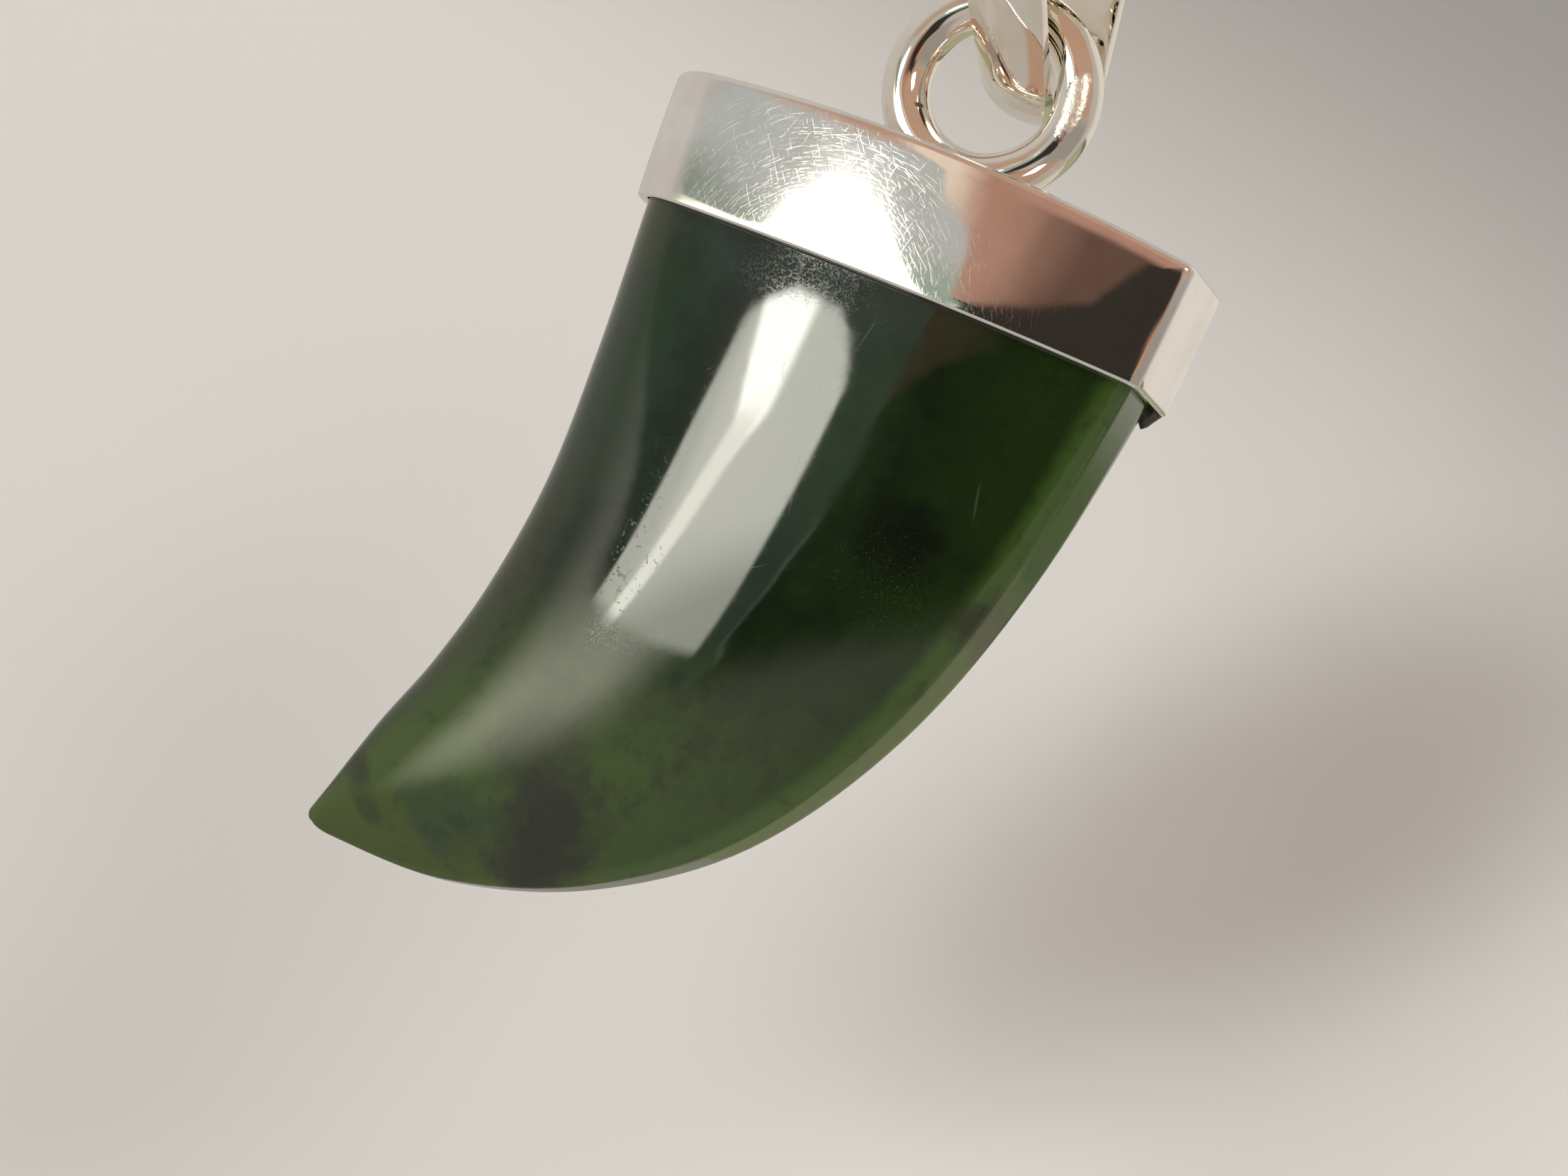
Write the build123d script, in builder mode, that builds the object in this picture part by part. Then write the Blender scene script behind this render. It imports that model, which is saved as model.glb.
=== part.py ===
# Jade claw pendant: a claw of polished jade in a silver cap, whose soldered ring hangs in a folded bail.
# Millimetres. +Z is up, along the cap's axis, and the claw's domed face looks along -Y. The origin is the
# seat inside the top of the bail's loop, where a chain carries the pendant.

import os
from math import cos, radians, sin, tan

from build123d import *

os.makedirs("parts", exist_ok=True)

# Claw: its section where it leaves the cap, and how far it hangs below the cap
claw_width = 21.5
claw_front = 3.8
claw_back = 3.2
claw_side = 2.2
claw_corner_front = 0.45
claw_corner_back = 1.3
claw_drop = 27.9

# Where a section's arcs meet, as shares of its depths and width: the shoulders beside its round left edge
# and the fullest place of its two faces
shoulder_depth = 0.72
shoulder_across = 0.37
fullest_across = 0.52

# Cap: a closed cup of sheet, a little wider at its crown than at its rim, with an arched top
cap_wall = 0.42
cap_plate = 0.8
cap_height = 5.7
cap_arch = 0.55
cap_flare_left = 0.5
cap_flare_right = 0.2
cap_corner = 0.4
cap_edge = 0.3
room_corner = 0.25
seat_gap = 0.08
crown_gap = 0.35

# Ring soldered on the cap, over the middle of its depth, with its foot sunk in the top
ring_wire = 1.95
ring_hole = 5.0
ring_sunk = 1.1
ring_offset = 0.3

# Resin that holds the claw: a bead between the claw's rounded back corner and the cap's, with a small lump
# that has run out below the rim
resin_bead = 1.1
resin_gap = 0.03
resin_rise = 2.6
resin_drop = 0.6

# Bail: a strip folded into a loop, domed on its outside, with its ends curved in and joined in a blunt point
bail_height = 10.0
bail_width = 4.0
bail_depth = 6.7
bail_strip = 0.75
bail_dome = 5.0
bail_splay = 13.0
bail_lip = 2.0
lip_across = 0.68
lip_up = 0.4

# How the bail lies on the ring: it leans, tips back and turns, and crosses the wire off the ring's top
bail_lean = -12.4
bail_tip_back = 31.2
bail_turn = -14.2
wire_drop = 4.72
wire_forward = 0.46
ring_roll = 8.5

# The claw's sections from the rim to the point. Across is a share of half the claw's width and down of
# its drop, at the concave edge (left) and the convex one (right). Front, back and side are shares of the
# claw's own at the rim
across_left, down_left, across_right, down_right, front_share, back_share, side_share = range(7)
claw_rows = [
    (-1.00, 0.000, 1.00, 0.000, 1.00, 1.00, 1.00),
    (-0.94, 0.215, 0.89, 0.294, 0.99, 0.94, 0.91),
    (-0.91, 0.412, 0.68, 0.559, 0.93, 0.84, 0.75),
    (-0.95, 0.581, 0.33, 0.778, 0.82, 0.72, 0.57),
    (-1.03, 0.713, -0.14, 0.918, 0.64, 0.55, 0.39),
    (-1.13, 0.821, -0.65, 0.989, 0.42, 0.34, 0.23),
    (-1.22, 0.935, -1.12, 0.998, 0.15, 0.13, 0.09),
    (-1.25, 0.971, -1.235, 0.989, 0.05, 0.05, 0.04),
]

# Half the bail's outline from the front, from its point up, as shares of half its width and of its height
face_point, face_curve, face_lip, face_edge, face_top = [
    (across * bail_width / 2, up * bail_height)
    for across, up in ((0, 0), (0.5, 0.07), (0.78, 0.2), (1, 0.75), (1, 1))
]

# Half the bail's outline from the side: the lip curves out of the point, the leg splays up to the fold
half_depth = bail_depth / 2
fold_height = bail_height - half_depth
splay = radians(bail_splay)
leg_top = (-half_depth * cos(splay), fold_height - half_depth * sin(splay))
leg_foot = (leg_top[0] + (leg_top[1] - bail_lip) * tan(splay), bail_lip)
lip_curve = (lip_across * leg_foot[0], lip_up * bail_lip)

# Places that follow from the sizes above
bail_plane = Plane(Location((0, 0, 0), (bail_tip_back, bail_lean, bail_turn)))
bail_point = bail_plane.from_local_coords(Vector(0, 0, bail_strip - bail_height))
wire_centre = bail_plane.from_local_coords(Vector(0, -wire_forward, -wire_drop))
ring_radius = (ring_hole + ring_wire) / 2
ring_up = Vector(sin(radians(ring_roll)), 0, cos(radians(ring_roll)))
ring_centre = wire_centre - ring_up * ring_radius
crown_z = ring_centre.Z - ring_radius - ring_wire / 2 + ring_sunk
middle_depth = (claw_front - claw_back) / 2
rim = Vector(ring_centre.X - ring_offset, ring_centre.Y + middle_depth, crown_z - cap_height)
room_height = cap_height - cap_arch - cap_plate
claw_in_cap = room_height - crown_gap


# A flat shape from its round left edge, at the plane's origin, to its flat right side at the given width
def claw_section(plane, width, front, back, side, corner_front, corner_back):
    shoulder_front = shoulder_depth * front
    shoulder_back = shoulder_depth * back
    shoulder = shoulder_across * (shoulder_front + shoulder_back)
    fullest = fullest_across * width
    with BuildSketch(plane) as section:
        with BuildLine():
            ThreePointArc((shoulder, shoulder_back), (0, 0), (shoulder, -shoulder_front))
            ThreePointArc((shoulder, -shoulder_front), (fullest, -front), (width, -side))
            Line((width, -side), (width, side))
            ThreePointArc((width, side), (fullest, back), (shoulder, shoulder_back))
        make_face()
        fillet(section.vertices().group_by(Axis.X)[-1].sort_by(Axis.Y)[0], corner_front)
        fillet(section.vertices().group_by(Axis.X)[-1].sort_by(Axis.Y)[-1], corner_back)
    return section.sketch


# The claw's section at the rim, grown all round, at a height above the rim where the flare has widened it
def grown_section(height, grown, corner_front, corner_back):
    flare = height / cap_height
    left = claw_width / 2 + grown + cap_flare_left * flare
    right = claw_width / 2 + grown + cap_flare_right * flare
    plane = Plane(origin=rim + Vector(-left, 0, height))
    return claw_section(
        plane, left + right, claw_front + grown, claw_back + grown, claw_side + grown, corner_front, corner_back
    )


# The claw's sections, grown all round: one inside the cap and the rows below it, each across the curved line
def claw_sections(grown):
    sections = [grown_section(claw_in_cap, grown, claw_corner_front, claw_corner_back)]
    for row in claw_rows:
        left = rim + Vector(row[across_left] * claw_width / 2, 0, -row[down_left] * claw_drop)
        right = rim + Vector(row[across_right] * claw_width / 2, 0, -row[down_right] * claw_drop)
        across = (right - left).normalized()
        sections.append(
            claw_section(
                Plane(origin=left - across * grown, x_dir=across, z_dir=(-across.Z, 0, across.X)),
                (right - left).length + 2 * grown,
                claw_front * row[front_share] + grown,
                claw_back * row[back_share] + grown,
                claw_side * row[side_share] + grown,
                claw_corner_front * row[side_share],
                claw_corner_back * row[side_share],
            )
        )
    return sections


with BuildPart() as jade_claw:
    loft(sections=claw_sections(0))
jade_claw.part.label = "jade_claw"

# The room for the claw inside the cap, open at the rim
with BuildPart() as cap_room:
    loft(
        sections=[
            grown_section(height, seat_gap, room_corner, room_corner) for height in (0, room_height)
        ]
    )

# The cap: the flared cup under its arched top, with the ring's foot sunk in it
cap_grown = seat_gap + cap_wall
arch_reach = claw_width / 2 + cap_grown + max(cap_flare_left, cap_flare_right)
with BuildPart() as cap_with_ring:
    loft(
        sections=[
            grown_section(height, cap_grown, cap_corner, cap_corner) for height in (0, cap_height)
        ]
    )
    with BuildSketch(Plane(origin=rim, x_dir=(1, 0, 0), z_dir=(0, -1, 0))):
        with BuildLine():
            ThreePointArc(
                (-arch_reach, cap_height - cap_arch), (0, cap_height), (arch_reach, cap_height - cap_arch)
            )
            Polyline(
                (arch_reach, cap_height - cap_arch),
                (arch_reach, 0),
                (-arch_reach, 0),
                (-arch_reach, cap_height - cap_arch),
            )
        make_face()
    extrude(amount=claw_front + claw_back, both=True, mode=Mode.INTERSECT)
    fillet(cap_with_ring.faces().sort_by(Axis.Z)[-1].edges(), cap_edge)
    with Locations(ring_centre):
        Torus(ring_radius, ring_wire / 2, rotation=(90, 0, 0))
    add(cap_room.part, mode=Mode.SUBTRACT)
cap_with_ring.part.label = "cap_with_ring"

# The resin: a round bead standing in the room's back right corner, cut to the space beside the claw
with BuildPart() as claw_room:
    loft(sections=claw_sections(resin_gap))
bead_centre = rim + Vector(claw_width / 2 + seat_gap, claw_side + seat_gap, 0)
with BuildPart() as setting_resin:
    loft(
        sections=[
            grown_section(height, seat_gap - resin_gap, room_corner, room_corner)
            for height in (-resin_drop, resin_rise)
        ]
    )
    with Locations(bead_centre - Vector(0, 0, resin_drop)):
        Cylinder(
            resin_bead,
            resin_drop + resin_rise,
            align=(Align.CENTER, Align.CENTER, Align.MIN),
            mode=Mode.INTERSECT,
        )
    add(claw_room.part, mode=Mode.SUBTRACT)
setting_resin.part.label = "setting_resin"

# The bail, in planes through its point: one across the loop, seen from the side, and one seen from the front
bail_side = Plane(origin=bail_point, x_dir=bail_plane.y_dir, z_dir=bail_plane.x_dir)
bail_front = Plane(origin=bail_point, x_dir=bail_plane.x_dir, z_dir=-bail_plane.y_dir)
bail_middle = Plane(origin=bail_point, x_dir=bail_plane.x_dir, z_dir=bail_plane.y_dir)
dome_centre = bail_dome - half_depth
dome_axis = Axis(bail_point + bail_plane.y_dir * dome_centre, bail_plane.z_dir)

with BuildLine() as half_loop:
    ThreePointArc((0, 0), lip_curve, leg_foot)
    Line(leg_foot, leg_top)
    CenterArc((0, fold_height), half_depth, 90, 90 + bail_splay)

with BuildPart() as bail:
    # The front half's dome, turned about an upright line behind the loop's middle, and its mirror image
    with BuildSketch(bail_side):
        with BuildLine():
            add(half_loop.line)
            Polyline((0, bail_height), (dome_centre, bail_height), (dome_centre, 0), (0, 0))
        make_face()
    revolve(axis=dome_axis)
    split(bisect_by=bail_middle, keep=Keep.BOTTOM)
    mirror(about=bail_middle)
    # The strip's outline from the front
    with BuildSketch(bail_front):
        with BuildLine():
            ThreePointArc(face_point, face_curve, face_lip)
            Polyline(face_lip, face_edge, face_top, (0, bail_height))
            mirror(about=Plane.YZ)
        make_face()
    extrude(amount=bail_depth, both=True, mode=Mode.INTERSECT)
    # The loop's inside, one strip's thickness in from the outline
    with BuildSketch(bail_side):
        with BuildLine():
            add(half_loop.line)
            mirror(about=Plane.YZ)
        make_face()
        offset(amount=-bail_strip, mode=Mode.REPLACE)
    extrude(amount=bail_width, both=True, mode=Mode.SUBTRACT)
bail.part.label = "bail"

for piece in (jade_claw, cap_with_ring, setting_resin, bail):
    export_step(piece.part, "parts/" + piece.part.label + ".step")
    print(piece.part.label, piece.part.volume, piece.part.is_valid, piece.part.bounding_box())
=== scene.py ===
from functools import reduce
from math import atan2, cos, dist, hypot, pi, radians, sin, sqrt, tan

import bmesh
import bpy
from mathutils import Matrix, Vector, noise


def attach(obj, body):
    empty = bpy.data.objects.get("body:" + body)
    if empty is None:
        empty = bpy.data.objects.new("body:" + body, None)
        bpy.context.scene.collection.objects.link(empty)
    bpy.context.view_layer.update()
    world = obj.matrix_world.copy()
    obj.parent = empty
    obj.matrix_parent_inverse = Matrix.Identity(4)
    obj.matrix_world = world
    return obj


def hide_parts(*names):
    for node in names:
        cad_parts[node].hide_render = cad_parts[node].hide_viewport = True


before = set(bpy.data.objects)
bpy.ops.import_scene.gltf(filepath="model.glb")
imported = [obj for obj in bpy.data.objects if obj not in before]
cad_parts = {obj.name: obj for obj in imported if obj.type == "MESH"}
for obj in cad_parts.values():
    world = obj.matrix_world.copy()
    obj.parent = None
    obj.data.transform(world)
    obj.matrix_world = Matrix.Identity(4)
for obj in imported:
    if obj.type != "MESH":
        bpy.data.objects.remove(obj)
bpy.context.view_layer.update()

mm = 0.001  # sizes below are in millimetres, Blender's are in metres
tiny = 1e-9  # the least divisor

rim = Vector((0.0897, 2.3192, -16.6817))  # middle of the cap's open edge
ringCentre = Vector((0.3897, 2.0192, -7.6317))


# ---- helpers shared by the pieces

def newObject(name, bm):
    for face in bm.faces:
        face.smooth = True
    bmesh.ops.scale(bm, vec=(mm, mm, mm), verts=bm.verts[:])
    mesh = bpy.data.meshes.new(name)
    bm.to_mesh(mesh)
    bm.free()
    made = bpy.data.objects.new(name, mesh)
    bpy.context.scene.collection.objects.link(made)
    return made


def newPiece(name, bm, body, nodeName):
    bmesh.ops.recalc_face_normals(bm, faces=bm.faces[:])
    piece = newObject(name, bm)
    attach(piece, body)
    if nodeName:
        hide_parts(nodeName)
    return piece


def circleOf(a, b, c):  # centre and radius of the circle through three flat points
    d = 2 * (a[0] * (b[1] - c[1]) + b[0] * (c[1] - a[1]) + c[0] * (a[1] - b[1]))
    sa, sb, sc = (p[0] ** 2 + p[1] ** 2 for p in (a, b, c))
    x = (sa * (b[1] - c[1]) + sb * (c[1] - a[1]) + sc * (a[1] - b[1])) / d
    y = (sa * (c[0] - b[0]) + sb * (a[0] - c[0]) + sc * (b[0] - a[0])) / d
    return x, y, hypot(a[0] - x, a[1] - y)


def arc(a, b, c, steps):  # evenly spaced points from a through b to c, without the last one
    x, y, r = circleOf(a, b, c)
    start = atan2(a[1] - y, a[0] - x)
    middle = (atan2(b[1] - y, b[0] - x) - start) % (2 * pi)
    end = (atan2(c[1] - y, c[0] - x) - start) % (2 * pi)
    if middle > end:
        end -= 2 * pi
    return [(x + r * cos(start + end * i / steps), y + r * sin(start + end * i / steps)) for i in range(steps)]


def rounding(before, corner, after, steps):  # a soft corner between two points beside it
    flat = list(zip(before, corner, after))
    return [
        tuple((1 - t) ** 2 * a + 2 * t * (1 - t) * b + t * t * c for a, b, c in flat)
        for t in (i / steps for i in range(steps))
    ]


sectionSteps = {"nose": 20, "front": 30, "frontCorner": 6, "side": 8, "backCorner": 8, "back": 22}
sectionCount = sum(sectionSteps.values())
# the round edge's end, as shares of the depths, and the domes' fullest place, as a share of the width
sectionShape = {"shoulder": 0.72, "shoulderIn": 0.37, "fullest": 0.52, "dense": 60}


def clawSection(width, front, back, side, cornerFront, cornerBack):
    # x runs from the round left edge to the flat right side, y from the domed front to the back
    shoulderFront, shoulderBack = sectionShape["shoulder"] * front, sectionShape["shoulder"] * back
    shoulder = sectionShape["shoulderIn"] * (shoulderFront + shoulderBack)
    fullest, dense = sectionShape["fullest"] * width, sectionShape["dense"]
    frontArc = arc((shoulder, -shoulderFront), (fullest, -front), (width, -side), dense) + [(width, -side)]
    backArc = arc((width, side), (fullest, back), (shoulder, shoulderBack), dense) + [(shoulder, shoulderBack)]
    frontEnd = resample(frontArc, 0, cornerFront)
    backStart = resample(backArc, cornerBack, 0)
    sideStart, sideEnd = (width, -side + cornerFront), (width, side - cornerBack)
    points = arc((shoulder, shoulderBack), (0, 0), (shoulder, -shoulderFront), sectionSteps["nose"])
    points += spread(frontEnd, sectionSteps["front"])
    points += rounding(frontEnd[-1], (width, -side), sideStart, sectionSteps["frontCorner"])
    points += spread([sideStart, sideEnd], sectionSteps["side"])
    points += rounding(sideEnd, (width, side), backStart[0], sectionSteps["backCorner"])
    points += spread(backStart, sectionSteps["back"])
    return points


def lengthsOf(line):
    total = [0.0]
    for a, b in zip(line, line[1:]):
        total.append(total[-1] + dist(a, b))
    return total


def pointAt(line, total, distance):
    for i in range(len(line) - 1):
        if total[i + 1] >= distance or i == len(line) - 2:
            t = (distance - total[i]) / max(total[i + 1] - total[i], tiny)
            return tuple(line[i][k] + (line[i + 1][k] - line[i][k]) * t for k in range(len(line[i])))


def resample(line, cutStart, cutEnd):  # the same line, shortened at its ends
    total = lengthsOf(line)
    low, high = cutStart, total[-1] - cutEnd
    inner = [p for p, d in zip(line, total) if low + 1e-6 < d < high - 1e-6]
    return [pointAt(line, total, low)] + inner + [pointAt(line, total, high)]


def spread(line, steps):  # evenly spaced points on a line, without the last one
    total = lengthsOf(line)
    return [pointAt(line, total, total[-1] * i / steps) for i in range(steps)]


def smoothRow(rows, place):  # a row of numbers between those of a table, on a smooth curve
    i = min(int(place), len(rows) - 2)
    t = place - i
    p = [rows[max(i - 1, 0)], rows[i], rows[i + 1], rows[min(i + 2, len(rows) - 1)]]
    return [
        0.5 * (2 * b + (c - a) * t + (2 * a - 5 * b + 4 * c - d) * t * t + (3 * b - a - 3 * c + d) * t ** 3)
        for a, b, c, d in zip(*p)
    ]


def drawOut(bm, edges):  # extrudes edges in place: the new vertices, and the new edges between them
    made = bmesh.ops.extrude_edge_only(bm, edges=edges)["geom"]
    verts = {g for g in made if isinstance(g, bmesh.types.BMVert)}
    return verts, [g for g in made if isinstance(g, bmesh.types.BMEdge) and verts.issuperset(g.verts)]


def drawLoop(bm, edges, points, row=0):
    # a closed ring of vertices that know their row and number: a circle at first, later the last ring drawn out
    layers = bm.verts.layers.int
    if edges is None:
        order, rowLayer = layers.new("order"), layers.new("row")
        verts = bmesh.ops.create_circle(bm, segments=len(points), radius=1)["verts"]
        for i, vert in enumerate(verts):
            vert[order] = i
        edges = bm.edges[:]
    else:
        order, rowLayer = layers["order"], layers["row"]
        verts, edges = drawOut(bm, edges)
    for vert in verts:
        vert[rowLayer] = row
        vert.co = points[vert[order]]
    return edges


def paintSurface(bm, count, mark):  # fills the UV map from the row and number of each corner
    order = bm.verts.layers.int["order"]
    row = bm.verts.layers.int["row"]
    uv = bm.loops.layers.uv.new("surface")
    for face in bm.faces:
        orders = [v[order] for v in face.verts]
        wraps = max(orders) - min(orders) > count / 2
        for corner in face.loops:
            i = corner.vert[order]
            corner[uv].uv = mark(corner.vert[row], i + count if wraps and i < count / 2 else i)


def newMaterial(name):
    material = bpy.data.materials.new(name)
    material.use_nodes = True
    tree = material.node_tree
    return material, tree, tree.nodes["Principled BSDF"]


def node(tree, kind, inputs=(), **settings):
    made = tree.nodes.new(kind)
    for key, value in settings.items():
        setattr(made, key, value)
    for key, value in dict(inputs).items():
        if isinstance(value, bpy.types.NodeSocket):
            tree.links.new(value, made.inputs[key])
        else:
            made.inputs[key].default_value = value
    return made


def maths(tree, operation, a, b=0.0, third=0.0):
    return node(tree, "ShaderNodeMath", {0: a, 1: b, 2: third}, operation=operation).outputs[0]


def times(tree, a, b):
    return maths(tree, "MULTIPLY", a, b)


def plus(tree, a, b, share=1.0):  # a, and a share of b
    return maths(tree, "MULTIPLY_ADD", b, share, third=a)


def allOf(tree, operation, values):
    return reduce(lambda a, b: maths(tree, operation, a, b), values)


def vectorMaths(tree, operation, a, b=(0, 0, 0)):
    return node(tree, "ShaderNodeVectorMath", {0: a, 1: b}, operation=operation).outputs


def partsOf(tree, vector):
    return node(tree, "ShaderNodeSeparateXYZ", {0: vector}).outputs


def turned(tree, vector, angle, axis):
    inputs = {"Vector": vector, "Angle": radians(angle)}
    return node(tree, "ShaderNodeVectorRotate", inputs, rotation_type=axis).outputs[0]


def cloudOf(tree, place, scale, detail, rough=0.5, twist=0.0, **settings):
    inputs = {"Vector": place, "Scale": scale, "Detail": detail, "Roughness": rough, "Distortion": twist}
    return node(tree, "ShaderNodeTexNoise", inputs, **settings).outputs[0]


def fade(tree, value, low, high, start=0.0, end=1.0):
    inputs = {"Value": value, "From Min": low, "From Max": high, "To Min": start, "To Max": end}
    return node(tree, "ShaderNodeMapRange", inputs, interpolation_type="SMOOTHSTEP").outputs["Result"]


def mixColour(tree, amount, a, b, most=1.0):  # from colour a toward colour b, by a share of the amount
    made = node(tree, "ShaderNodeMix", {"Factor": amount if most == 1.0 else times(tree, amount, most)},
                data_type="RGBA")
    for name, colour in (("A", a), ("B", b)):
        socket = next(s for s in made.inputs if s.name == name and s.type == "RGBA")
        if isinstance(colour, bpy.types.NodeSocket):
            tree.links.new(colour, socket)
        else:
            socket.default_value = (*colour, 1)
    return next(s for s in made.outputs if s.type == "RGBA")


def fromRim(tree):  # millimetres from the middle of the cap's open edge
    inputs = {"Vector": node(tree, "ShaderNodeTexCoord").outputs["Object"], "Location": tuple(-rim)}
    return node(tree, "ShaderNodeMapping", {**inputs, "Scale": (1 / mm, 1 / mm, 1 / mm)}).outputs[0]


def blob(tree, position, centre, size, turn=0.0, soft=0.5, ragged=0.5, scale=0.6):
    # a soft patch seen from the front: centre and half sizes in millimetres across and up
    moved = vectorMaths(tree, "SUBTRACT", position, (centre[0], 0, centre[1]))[0]
    moved = turned(tree, moved, turn, "Y_AXIS")
    moved = vectorMaths(tree, "MULTIPLY", moved, (1 / size[0], 0, 1 / size[1]))[0]
    cloud = maths(tree, "SUBTRACT", cloudOf(tree, position, scale, 3.0, 0.6), 0.5)
    distance = plus(tree, vectorMaths(tree, "LENGTH", moved)["Value"], cloud, ragged * 2)
    return fade(tree, distance, 1 - soft, 1 + soft, 1.0, 0.0)


def blobsOf(tree, position, shapes):
    return [blob(tree, position, **shape) for shape in shapes]


def finishSurface(tree, shader, colour, rough, height, depth, strength=1.0):
    tree.links.new(colour, shader.inputs["Base Color"])
    tree.links.new(rough, shader.inputs["Roughness"])
    bump = node(tree, "ShaderNodeBump", {"Height": height, "Strength": strength, "Distance": depth})
    tree.links.new(bump.outputs[0], shader.inputs["Normal"])


# ---- camera and stage

cameraSetup = {
    "azimuth": 18.18, "elevation": -3.95, "roll": 24.07,  # degrees, azimuth from the front toward the side band
    "distance": 220.0, "lens": 130.4, "sensor": 36.0,  # mm
    "aim": (0.70, 0.0, -11.96),  # what the picture's middle looks at, from the rim's middle
    "clip": (0.01, 20.0),  # m
}


def towards(azimuth, elevation):
    a, e = radians(azimuth), radians(elevation)
    return Vector((sin(a) * cos(e), -cos(a) * cos(e), sin(e)))


def lookingFrom(place, back, roll=0.0):  # at a place, with its back that way, and level but for the roll
    level = Vector((0, 0, 1)).cross(back).normalized()
    up = back.cross(level)
    right = level * cos(roll) + up * sin(roll)
    up = up * cos(roll) - level * sin(roll)
    return Matrix.Translation(place) @ Matrix((right, up, back)).transposed().to_4x4()


def makeCamera(setup):
    data = bpy.data.cameras.new("photoCamera")
    data.lens = setup["lens"]
    data.sensor_width = setup["sensor"]
    data.clip_start, data.clip_end = setup["clip"]
    camera = bpy.data.objects.new("photoCamera", data)
    back = towards(setup["azimuth"], setup["elevation"])
    place = rim + Vector(setup["aim"]) + back * setup["distance"]
    camera.matrix_world = lookingFrom(place * mm, back, radians(setup["roll"]))
    bpy.context.scene.collection.objects.link(camera)
    bpy.context.scene.camera = camera


makeCamera(cameraSetup)
print("camera placed")

stageSetup = {
    "floorDrop": 70.0,  # floor below the rim's middle
    "paperBehind": 46.0,  # upright part of the paper behind the pendant
    "bend": 46.0, "bendSteps": 30, "halfWidth": 600.0, "front": 700.0, "height": 500.0,
    "colour": (0.84, 0.845, 0.85), "rough": 0.9, "gloss": 0.1,
    "paintedShadeColour": (0.40, 0.395, 0.40), "fadeAcross": 0.2, "fade": (-1.0, 34.0),  # painted shade, darker high up at the right
    "paintedLightColour": (0.95, 0.96, 0.97), "litRise": -1.2, "lit": (28.0, 50.0),  # painted light, paler in the low right corner
    # a painted soft shadow, low at the right
    "shade": {
        "centre": (10.0, -11.5), "size": (17.0, 7.5), "turn": 47, "soft": 0.75, "ragged": 0.15, "scale": 0.05,
    },
    "paintedShadowColour": (0.16, 0.09, 0.04), "paintedShadowAmount": 0.37,
}


def makePaper(setup):
    bm = bmesh.new()
    low = rim.z - setup["floorDrop"]
    wall = rim.y + setup["paperBehind"]
    ends = [bm.verts.new((side * setup["halfWidth"], -setup["front"], low)) for side in (-1, 1)]
    edges = [bm.edges.new(ends)]
    turns = [pi / 2 * i / setup["bendSteps"] for i in range(setup["bendSteps"] + 1)]
    line = [(wall - setup["bend"] * (1 - sin(a)), low + setup["bend"] * (1 - cos(a))) for a in turns]
    last = (-setup["front"], low)
    for y, z in line + [(wall, low + setup["height"])]:
        verts, edges = drawOut(bm, edges)
        bmesh.ops.translate(bm, vec=(0, y - last[0], z - last[1]), verts=list(verts))
        last = (y, z)
    bm.normal_update()
    bm.faces.ensure_lookup_table()
    if bm.faces[0].normal.z < 0:
        bmesh.ops.reverse_faces(bm, faces=bm.faces[:])
    paper = newObject("paperSweep", bm)
    paper.visible_glossy = False  # the silver and the stone mirror the studio alone
    material, tree, shader = newMaterial("palePaper")
    position = fromRim(tree)
    parts = partsOf(tree, position)
    # painted shade: the paper grows darker high up at the right
    far = fade(tree, plus(tree, parts[2], parts[0], setup["fadeAcross"]), *setup["fade"])
    colour = mixColour(tree, far, setup["colour"], setup["paintedShadeColour"])
    # painted light: the paper grows paler in the low right corner
    corner = fade(tree, plus(tree, parts[0], parts[2], setup["litRise"]), *setup["lit"])
    colour = mixColour(tree, corner, colour, setup["paintedLightColour"])
    # a painted soft shadow, low at the right
    shade = blob(tree, position, **setup["shade"])
    colour = mixColour(tree, shade, colour, setup["paintedShadowColour"], setup["paintedShadowAmount"])
    tree.links.new(colour, shader.inputs["Base Color"])
    shader.inputs["Roughness"].default_value = setup["rough"]
    shader.inputs["Specular IOR Level"].default_value = setup["gloss"]
    # seen from behind, the sweep doesn't hide the pendant
    behind = node(tree, "ShaderNodeNewGeometry").outputs["Backfacing"]
    clear = node(tree, "ShaderNodeBsdfTransparent").outputs["BSDF"]
    mix = node(tree, "ShaderNodeMixShader", {"Fac": behind, 1: shader.outputs["BSDF"], 2: clear})
    tree.links.new(mix.outputs["Shader"], tree.nodes["Material Output"].inputs["Surface"])
    paper.data.materials.append(material)


makePaper(stageSetup)


def zone(azimuth, elevation, soft, colour, cuts=()):
    return {"azimuth": azimuth, "elevation": elevation, "soft": soft, "colour": colour, "cuts": cuts}


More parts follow.
